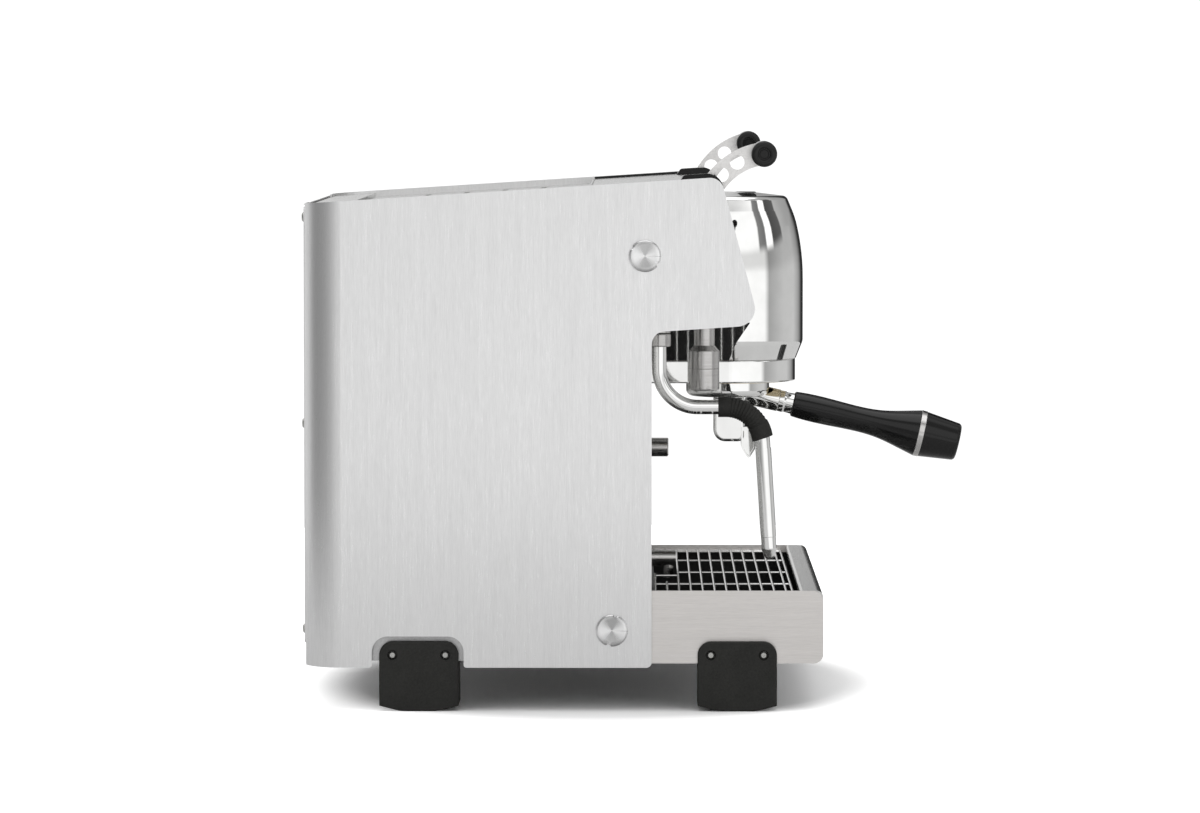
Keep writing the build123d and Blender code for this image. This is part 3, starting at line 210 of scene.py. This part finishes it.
def turned_piece(name, profile, origin, axis, segments=96, notches=()):
    """A closed piece turned about an axis.

    profile is (distance along the axis, radius) from one end to the other. Point (i, j) lies
    at origin + axis * distance_i + radius_i * (cos a_j * side + sin a_j * up), where side and
    up are square to the axis. A notch (angle, half width, depth) draws the outer radius in by
    depth * (1 - (angle from notch / half width)^2), where that is above nothing.
    """
    profile = np.array(profile, float)
    axis = np.array(axis, float) / np.linalg.norm(axis)
    helper = np.array((0, 0, 1.0)) if abs(axis[2]) < 0.9 else np.array((0, 1.0, 0))
    side = np.cross(helper, axis)
    side /= np.linalg.norm(side)
    up = np.cross(axis, side)
    angle = np.linspace(0, 2 * math.pi, segments, endpoint=False)
    radius = np.repeat(profile[:, 1:2], segments, axis=1)
    rim_share = 0.87
    rim = profile[:, 1:2] > profile[:, 1].max() * rim_share
    for centre, half, depth in notches:
        off = (np.degrees(angle) - centre + 180) % 360 - 180
        radius -= rim * depth * np.clip(1 - (off / half) ** 2, 0, 1)
    ring = (np.cos(angle)[:, None] * side + np.sin(angle)[:, None] * up)[None, :, :]
    points = np.array(origin, float) + profile[:, :1, None] * axis + radius[:, :, None] * ring
    rows = len(profile)
    low = np.arange(rows - 1)[:, None] * segments + np.arange(segments)[None, :]
    right = np.arange(rows - 1)[:, None] * segments + (np.arange(segments)[None, :] + 1) % segments
    faces = np.stack([low, right, right + segments, low + segments], axis=2).reshape(-1, 4)
    ends = [list(range(segments))[::-1], list(range((rows - 1) * segments, rows * segments))]
    mesh = bpy.data.meshes.new(name)
    mesh.from_pydata(points.reshape(-1, 3).tolist(), [], faces.tolist() + ends)
    mesh.shade_smooth()
    mesh.set_sharp_from_angle(angle=math.radians(32))
    turned_round = mesh.uv_layers.new(name="turned")
    corner = np.empty(len(mesh.loops), np.int32)
    mesh.loops.foreach_get("vertex_index", corner)
    around = (corner % segments) / segments
    along = np.repeat(profile[:, 1], segments)[corner] * 100
    turned_round.data.foreach_set("uv", np.stack([around, along], axis=1).ravel())
    piece = bpy.data.objects.new(name, mesh)
    bpy.context.scene.collection.objects.link(piece)
    return piece


def joined(name, pieces):
    """Several like pieces as one object."""
    with bpy.context.temp_override(active_object=pieces[0], object=pieces[0],
                                   selected_objects=pieces, selected_editable_objects=pieces):
        bpy.ops.object.join()
    pieces[0].name = name
    return pieces[0]


def faced_steel():
    """Turned face: fine ring marks, with painted highlights that brighten the colour in soft wedges round
    the centre.
    """
    material, tree, shader = new_surface("faced steel", Metallic=1.0, Roughness=0.3)
    uv = place(tree, "ShaderNodeSeparateXYZ", {0: place(tree, "ShaderNodeUVMap",
                                                        uv_map="turned").outputs[0]})
    wedge = place(tree, "ShaderNodeMath", {0: uv.outputs[0], 1: 4 * math.pi}, operation="MULTIPLY")
    # painted highlight: the base colour brightens in soft wedges round the centre, where a turned face
    # would catch the light
    painted_wedge_highlight = place(tree, "ShaderNodeMath", {0: wedge.outputs[0]}, operation="COSINE")
    rings = place(tree, "ShaderNodeTexNoise", {"Vector": uv.outputs[1], "Scale": 90.0,
                                               "Detail": 2.0})
    blur = place(tree, "ShaderNodeMapRange", {"Value": painted_wedge_highlight.outputs[0], "From Min": -1.0,
                                              "To Min": 0.18, "To Max": 0.42})
    mixed = place(tree, "ShaderNodeMix", {"Factor": 0.5, "A": rings.outputs["Fac"]})
    tree.links.new(painted_wedge_highlight.outputs[0], mixed.inputs["B"])
    # the base colour is the ring marks mixed with the painted wedge highlights
    tint = place(tree, "ShaderNodeMapRange", {"Value": mixed.outputs[0], "From Min": -0.1,
                                              "From Max": 0.7, "To Min": 0.50, "To Max": 0.95})
    tree.links.new(tint.outputs[0], shader.inputs["Base Color"])
    tree.links.new(blur.outputs[0], shader.inputs["Roughness"])
    bump = place(tree, "ShaderNodeBump", {"Height": rings.outputs["Fac"], "Distance": 0.00005,
                                          "Strength": 0.15})
    tree.links.new(bump.outputs[0], shader.inputs["Normal"])
    return material


def thumb_nuts():
    """Four nuts, two on each panel; each pair's heights are the CAD nuts' own."""
    low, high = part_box("panel_thumb_nuts")
    head_radius, head_height, seat = 0.0116, 0.0036, 0.0020
    profile = ((-seat, 0.0020), (0.0, 0.0112), (0.0002, head_radius), (0.0024, head_radius),
               (0.0027, 0.01145), (0.0035, 0.01030), (head_height, 0.01005), (0.0034, 0.0080),
               (0.0033, 0.0004))
    notch_half_width, notch_depth = 7, 0.0016
    upper = (low.y + head_radius, high.z - head_radius, 148)
    lower = (high.y - head_radius, low.z + head_radius, 77)
    nuts = []
    for side, face_x in ((-1, low.x + head_height), (1, high.x - head_height)):
        for y, z, turn in (upper, lower):
            notches = [(angle, notch_half_width, notch_depth)
                       for angle in (turn, turn - 180, turn + 180)]
            nuts.append(turned_piece("nut", profile, (face_x, y, z), (side, 0, 0), notches=notches))
    return joined("thumb_nuts", nuts)


nuts = thumb_nuts()
nuts.data.materials.append(faced_steel())
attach(nuts, "machine")
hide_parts("panel_thumb_nuts")

# ---------------------------------------------------------------- covers
# The nose and top are one folded stainless sheet, brushed from side to side like the sunk cup
# tray and the backsplash. Black mouldings edge the lever slots and seal the top's joints.

cover_steel = streaked_metal("cover steel", straight_brushing, "X", (0.60, 0.60, 0.59),
                             (0.74, 0.74, 0.73), 0.2, 0.3, 0.7)
clad(cover_steel, "front_cover", "cup_tray", "backsplash")
clad(matte_black, "lever_slot_trims", "top_edge_seals")

# ---------------------------------------------------------------- drip tray
# A black coated pan slides out on its brushed front, between two outer plates brushed
# lengthways. A grid of polished, welded wires lies on the pan.

clad(cover_steel, "tray_front_cover")
clad(streaked_metal("tray plate steel", straight_brushing, "Y", (0.70, 0.675, 0.655),
                    (0.78, 0.755, 0.735), 0.28, 0.36, 0.7, depth=0.06),
     "left_tray_side_plate", "right_tray_side_plate")
clad(mottled("pan coat", (0.010, 0.010, 0.010), (0.018, 0.018, 0.018), 0.32, 0.5,
             Specular_IOR_Level=0.3), "drip_tray_pan")
clad(mottled("wire steel", (0.70, 0.70, 0.69), (0.82, 0.82, 0.81), 0.12, 0.2, Metallic=1.0),
     "tray_grid")

# ---------------------------------------------------------------- feet
# Four moulded rubber feet are each screwed to the chassis by two zinc-plated screws.

clad(rubber, "feet")
clad(zinc, "foot_screws")

# ---------------------------------------------------------------- group cover
# The brew group's cast cover and its collar are polished and chromed, and handling leaves the
# faintest haze on them. The brew button is let into the cover's top.

haze = finish_group("haze", ((90, 90), (35, 35), (12, 12)), 0.0001)
chrome, chrome_tree, chrome_shader = new_surface("chrome", Metallic=1.0)
finish_with(chrome, chrome_tree, chrome_shader, haze,
            place(chrome_tree, "ShaderNodeTexCoord").outputs["Object"],
            (0.83, 0.83, 0.82), (0.90, 0.90, 0.89), 0.02, 0.055, 0.0)
clad(chrome, "group_cover", "group_collar")
clad(matte_black, "brew_button")

# ---------------------------------------------------------------- portafilter
# A chromed head, spout and stem carry a pressed steel basket. The glossy black grip and cap are
# moulded, with a turned stainless ring between them whose tool marks run round it.


def satin_turned(name, along):
    """Give a turned stainless piece tool marks round its own axis, which draw the gloss out along it."""
    clad(streaked_metal(name.replace("_", " ") + " steel", ring_marks, along, (0.52, 0.51, 0.50),
                        (0.62, 0.61, 0.60), 0.2, 0.26, 0.6, turn=0.25, depth=0.05), name)


ring_marks = finish_group("ring marks", ((30, 5200), (20, 1900), (60, 60)), 0.00008)
gloss_black = mottled("gloss black", (0.004, 0.004, 0.004), (0.007, 0.007, 0.007), 0.10, 0.16, 0.02,
                      Specular_IOR_Level=0.3)
clad(chrome, "portafilter_head", "portafilter_spout", "portafilter_stem")
clad(pressed_steel, "filter_basket")
clad(gloss_black, "handle_grip", "handle_cap")
satin_turned("handle_ring", "Y")

# ---------------------------------------------------------------- levers
# Each valve lever is a bead-blasted steel plate with round holes. A glossy black barrel knob
# is pushed on its end; a step and a sunk disc close each end of the knob.

clad(mottled("lever steel", (0.74, 0.73, 0.72), (0.86, 0.85, 0.84), 0.3, 0.4, 0.25, Metallic=1.0),
     "left_lever_arm", "right_lever_arm")


def lever_knob(side):
    """Barrel knob with rounded ends; a ring-shaped step and a sunk disc close each end."""
    low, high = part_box(side + "_lever_knob")
    centre = (low + high) / 2
    half = (high.x - low.x) / 2
    # from the sunk disc's middle out over the step and the rim, as (place along, radius)
    end = ((half - 0.0021, 0.0004), (half - 0.0021, 0.0030), (half - 0.0016, 0.0034),
           (half - 0.0016, 0.0042), (half - 0.0002, 0.0046), (half, 0.0050), (half, 0.0074),
           (half - 0.0004, 0.0085), (half - 0.0013, 0.0092), (half - 0.0025, 0.00938))
    profile = [(-along, radius) for along, radius in end] + list(end[::-1])
    knob = turned_piece(side + "_knob", profile, centre, (1, 0, 0))
    knob.data.materials.append(gloss_black)
    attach(knob, side + "_lever")
    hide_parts(side + "_lever_knob")


lever_knob("left")
lever_knob("right")

# ---------------------------------------------------------------- steam wand
# The wand's chromed tubes hang from a turned nut and collar. A moulded rubber sleeve is pushed
# over the forward bend: a smooth cuff, shallow ribs that let it bend, and a wider cuff at the
# end.

clad(chrome, "wand_upper_tube", "wand_lower_tube", "wand_tip")
satin_turned("wand_nut", "Z")
satin_turned("wand_collar", "Z")


def wand_sleeve():
    """Ribbed tube along a short straight and an arc.

    At a distance d along it the radius is a cuff's, or in between the furrows' radius plus
    the ribs' height times the square root of |sin(pi (d - first cuff) / pitch)|. The
    sections turn with the arc up to a limit, and at about half its rate past it, so the end
    is cut at a slight slant.
    """
    low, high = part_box("wand_sleeve")
    x = (low.x + high.x) / 2
    sleeve_radius, bore, furrow, rib_height, pitch = 0.0074, 0.0050, 0.0070, 0.00055, 0.00235
    first_cuff, first_radius, last_cuff, last_radius = 0.009, 0.00735, 0.0105, 0.0079
    start_y, centre_z = high.y, high.z - sleeve_radius
    straight, bend, last = 0.0061, 0.0265, math.radians(82)
    square_to, slower = math.radians(60), 0.55
    length = straight + bend * last
    d = np.linspace(0, length, 190)
    turn = np.clip((d - straight) / bend, 0, None)
    y = start_y - np.minimum(d, straight) - bend * np.sin(turn)
    z = centre_z - bend + bend * np.cos(turn)
    tilt = np.where(turn < square_to, turn, square_to + (turn - square_to) * slower)
    ribs = furrow + rib_height * np.sqrt(np.abs(np.sin(math.pi * (d - first_cuff) / pitch)))
    radius = np.where(d < first_cuff, first_radius,
                      np.where(d > length - last_cuff, last_radius, ribs))
    start_edge, end_edge = 0.0071, 0.0077
    radius = np.concatenate([[bore, start_edge], radius, [end_edge, bore]])
    y, z, tilt = [np.concatenate([[v[0], v[0]], v, [v[-1], v[-1]]]) for v in (y, z, tilt)]
    angle = np.linspace(0, 2 * math.pi, 48, endpoint=False)
    across = np.cos(angle)[None, :] * radius[:, None]
    lift = np.sin(angle)[None, :] * radius[:, None]
    points = np.stack([x + across, y[:, None] - lift * np.sin(tilt)[:, None],
                       z[:, None] + lift * np.cos(tilt)[:, None]], axis=2)
    rows, around = across.shape
    low_ring = np.arange(rows - 1)[:, None] * around + np.arange(around)[None, :]
    next_ring = np.arange(rows - 1)[:, None] * around + (np.arange(around)[None, :] + 1) % around
    faces = np.stack([low_ring, low_ring + around, next_ring + around, next_ring], axis=2)
    ends = [list(range(around)), list(range((rows - 1) * around, rows * around))[::-1]]
    mesh = bpy.data.meshes.new("ribbed_sleeve")
    mesh.from_pydata(points.reshape(-1, 3).tolist(), [], faces.reshape(-1, 4).tolist() + ends)
    mesh.shade_smooth()
    mesh.set_sharp_from_angle(angle=math.radians(50))
    sleeve = bpy.data.objects.new("ribbed_sleeve", mesh)
    bpy.context.scene.collection.objects.link(sleeve)
    return sleeve


sleeve = wand_sleeve()
sleeve.data.materials.append(rubber)
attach(sleeve, "wand")
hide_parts("wand_sleeve")

# ---------------------------------------------------------------- spouts and power knob
# The hot-water spout, the drain spout and the power knob are turned from stainless bar, like
# the wand's nut, and keep the fine marks of the tool.

satin_turned("hot_water_spout", "Z")
satin_turned("drain_spout", "Y")
satin_turned("power_knob", "Y")

# ---------------------------------------------------------------- studio
# A pale floor, a white room beyond it, and soft boxes round the machine.

scene = bpy.context.scene
scene.view_settings.view_transform = "Standard"

camera_data = bpy.data.cameras.new("camera")
camera = bpy.data.objects.new("camera", camera_data)
scene.collection.objects.link(camera)
scene.camera = camera
camera_data.lens = 164.6
camera_data.sensor_width = 36.0
camera_data.clip_end = 200.0
camera.location = (-4.15, 0.0, 0.448)
camera.rotation_euler = (math.radians(90 - 3.30), 0, math.radians(-90 + 0.42))


def soft_box(name, stand, aim, width, height, power):
    """A rectangular soft light on a stand, facing a point."""
    data = bpy.data.lights.new(name, "AREA")
    data.shape = "RECTANGLE"
    data.size = width
    data.size_y = height
    data.energy = power
    box = bpy.data.objects.new(name, data)
    scene.collection.objects.link(box)
    box.location = stand
    away = np.array(aim, float) - np.array(stand, float)
    box.rotation_euler = (math.atan2(math.hypot(away[0], away[1]), -away[2]), 0,
                          math.atan2(away[1], away[0]) - math.pi / 2)
    box.visible_camera = False
    return box


soft_box("overhead box", (-0.2, 0.0, 2.2), (0, 0, 0.0), 2.0, 2.0, 9)

# The room is white to look at and in the light that it sheds. Polished metal mirrors the
# darker working side of the studio instead: grey walls, white boxes and black flags, each
# given below as (degrees round from the camera towards the machine's front, brightness).
LEVELS = {
    "table level": ((-180, 0.75), (-125, 0.8), (-95, 0.22), (-45, 0.3), (-20, 0.55), (8, 1.15), (58, 1.1),
                    (66, 0.42), (95, 0.6), (120, 0.62), (138, 0.35), (152, 0.03), (176, 0.03),
                    (180, 0.75)),
    "camera level": ((-180, 0.75), (-125, 0.8), (-95, 0.2), (-45, 0.3), (-20, 0.45), (8, 0.8), (58, 0.8),
                     (66, 0.3), (95, 0.5), (120, 0.5), (138, 0.3), (152, 0.03), (176, 0.03),
                     (180, 0.75)),
    "box level": ((-180, 0.75), (-125, 0.75), (-95, 0.2), (-45, 0.25), (-28, 1.15), (50, 1.15),
                  (52, 0.25), (64, 0.18), (66, 1.4), (77, 1.4), (78, 0.08), (99, 0.12),
                  (101, 0.5), (120, 0.4), (150, 0.35), (155, 0.03), (176, 0.03), (180, 0.75)),
}

world = bpy.data.worlds.new("white room")
scene.world = world
world.use_nodes = True
world.cycles.sampling_method = "NONE"
room = world.node_tree
looking = place(room, "ShaderNodeSeparateXYZ",
                {0: place(room, "ShaderNodeTexCoord").outputs["Generated"]})
toward_camera = place(room, "ShaderNodeMath", {0: looking.outputs["X"], 1: -1.0},
                      operation="MULTIPLY")
toward_front = place(room, "ShaderNodeMath", {0: looking.outputs["Y"], 1: -1.0},
                     operation="MULTIPLY")
round_from_camera = place(room, "ShaderNodeMath", {0: toward_front.outputs[0],
                                                   1: toward_camera.outputs[0]},
                          operation="ARCTAN2")
turn = place(room, "ShaderNodeMapRange", {"Value": round_from_camera.outputs[0],
                                          "From Min": -math.pi, "From Max": math.pi})
walls = []
for level, stops in LEVELS.items():
    ramp = place(room, "ShaderNodeValToRGB", {"Fac": turn.outputs[0]}, label=level)
    band = ramp.color_ramp
    while len(band.elements) < len(stops):
        band.elements.new(0.5)
    for element, (degrees, brightness) in zip(band.elements, stops):
        element.position = degrees / 360 + 0.5
        element.color = (brightness, brightness, brightness, 1)
    walls.append(ramp.outputs["Color"])


def step_up(low, high, below, above):
    """Mix two levels of the room by height: below under one sine of elevation, above over the other."""
    rise = place(room, "ShaderNodeMapRange", {"Value": looking.outputs["Z"], "From Min": low,
                                              "From Max": high}, interpolation_type="SMOOTHSTEP")
    mixed = place(room, "ShaderNodeMix", {0: rise.outputs[0]}, data_type="RGBA")
    room.links.new(below, mixed.inputs[6])
    if isinstance(above, bpy.types.NodeSocket):
        room.links.new(above, mixed.inputs[7])
    else:
        mixed.inputs[7].default_value = above
    return mixed.outputs[2]


low_wall = step_up(0.0, 0.10, walls[0], walls[1])
wall = step_up(0.16, 0.24, low_wall, walls[2])
wall = step_up(0.62, 0.75, wall, (0.45, 0.45, 0.45, 1))
ceiling = step_up(0.86, 0.90, wall, (1.1, 1.1, 1.1, 1))

mirrored_room = place(room, "ShaderNodeBackground", {"Color": ceiling, "Strength": 1.0})
white_room = room.nodes["Background"]
white_room.inputs["Color"].default_value = (1, 1, 1, 1)
white_room.inputs["Strength"].default_value = 1.1
ray = place(room, "ShaderNodeLightPath")
pick = place(room, "ShaderNodeMixShader", {0: ray.outputs["Is Glossy Ray"],
                                           1: white_room.outputs[0], 2: mirrored_room.outputs[0]})
room.links.new(pick.outputs[0], room.nodes["World Output"].inputs["Surface"])

floor_mesh = bpy.data.meshes.new("floor")
ring = np.radians(np.arange(0, 360, 4))
rim = np.stack([1.5 * np.cos(ring), 1.5 * np.sin(ring), np.zeros(len(ring))], axis=1)
floor_mesh.from_pydata(rim.tolist(), [], [list(range(len(ring)))])
floor = bpy.data.objects.new("floor", floor_mesh)
scene.collection.objects.link(floor)
# The floor glows with painted light, seen only by the camera, beyond the machine's own footprint,
# so its cast shadow stops there; it shows up darker in polished metal than it does to the eye. The
# footprint is taken as an ellipse that reaches 0.28 m to each side, and 0.21 m to front and rear of a
# middle just behind the origin.
floor_paint, floor_tree, floor_shader = new_surface("floor paint", Roughness=0.9)
seen = place(floor_tree, "ShaderNodeLightPath")
paint = place(floor_tree, "ShaderNodeMix", {0: seen.outputs["Is Glossy Ray"],
                                            6: (0.93, 0.93, 0.93, 1), 7: (0.52, 0.52, 0.52, 1)},
              data_type="RGBA")
floor_tree.links.new(paint.outputs[2], floor_shader.inputs["Base Color"])
spot = place(floor_tree, "ShaderNodeMapping", {
    "Vector": place(floor_tree, "ShaderNodeTexCoord").outputs["Object"],
    "Location": (0, -0.14, 0), "Scale": (3.6, 4.76, 0)})
reach = place(floor_tree, "ShaderNodeVectorMath", {0: spot.outputs[0]}, operation="LENGTH")
# painted light: outside the footprint the floor glows for the camera, which clears its cast shadow there
painted_glow_reach = place(floor_tree, "ShaderNodeMapRange", {"Value": reach.outputs["Value"], "From Min": 0.85,
                                               "From Max": 1.12, "To Max": 0.6},
            interpolation_type="SMOOTHSTEP")
glow = place(floor_tree, "ShaderNodeMath", {0: painted_glow_reach.outputs[0], 1: seen.outputs["Is Camera Ray"]},
             operation="MULTIPLY")
floor_tree.links.new(glow.outputs[0], floor_shader.inputs["Emission Strength"])
floor_shader.inputs["Emission Color"].default_value = (1, 1, 1, 1)
floor_mesh.materials.append(floor_paint)
